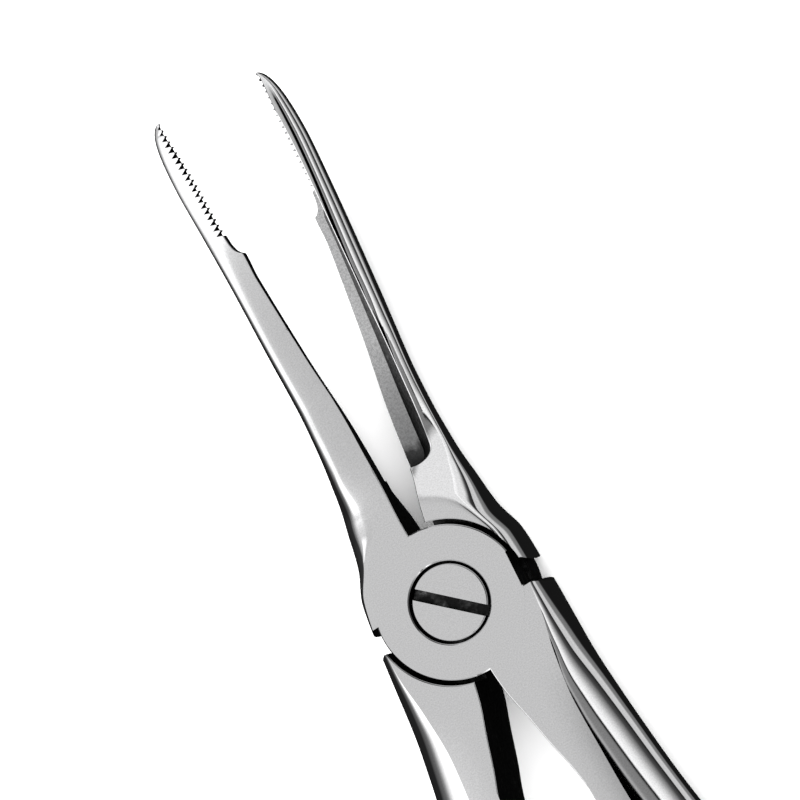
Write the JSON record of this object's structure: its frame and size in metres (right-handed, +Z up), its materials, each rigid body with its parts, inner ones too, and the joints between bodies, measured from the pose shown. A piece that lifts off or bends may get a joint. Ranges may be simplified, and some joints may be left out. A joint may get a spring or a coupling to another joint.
{
  "type": "extraction forceps",
  "caption": "Dental root extraction forceps: two lapped steel levers on a slotted screw, with long slender hollow toothed jaws for gripping root fragments.",
  "frame": {"origin": "on the joint screw's axis, in the plane of the flat underside that the closed or open forceps lie on", "axes": "+Y from the screw towards the jaw tips along the line that halves the opening, +Z up along the screw towards its slotted head, +X to the right seen from above"},
  "size_m": [0.0518, 0.1701, 0.009],
  "materials": {
    "lever_steel": "stainless steel, satin-ground flats at the joint, mirror-polished rounded sides, rough milled inner walls and hollows",
    "screw_steel": "stainless steel, satin-ground head with a rough slot floor"
  },
  "bodies": {
    "lower": {"lower_lever": "lever_steel", "joint_screw": "screw_steel"},
    "upper": {"upper_lever": "lever_steel"}
  },
  "joints": [
    {"name": "lever_pivot", "type": "hinge", "parent": "lower", "child": "upper", "pos_m": [0, 0, 0], "axis": [0, 0, 1], "range_deg": [-11.2, 14]}
  ]
}
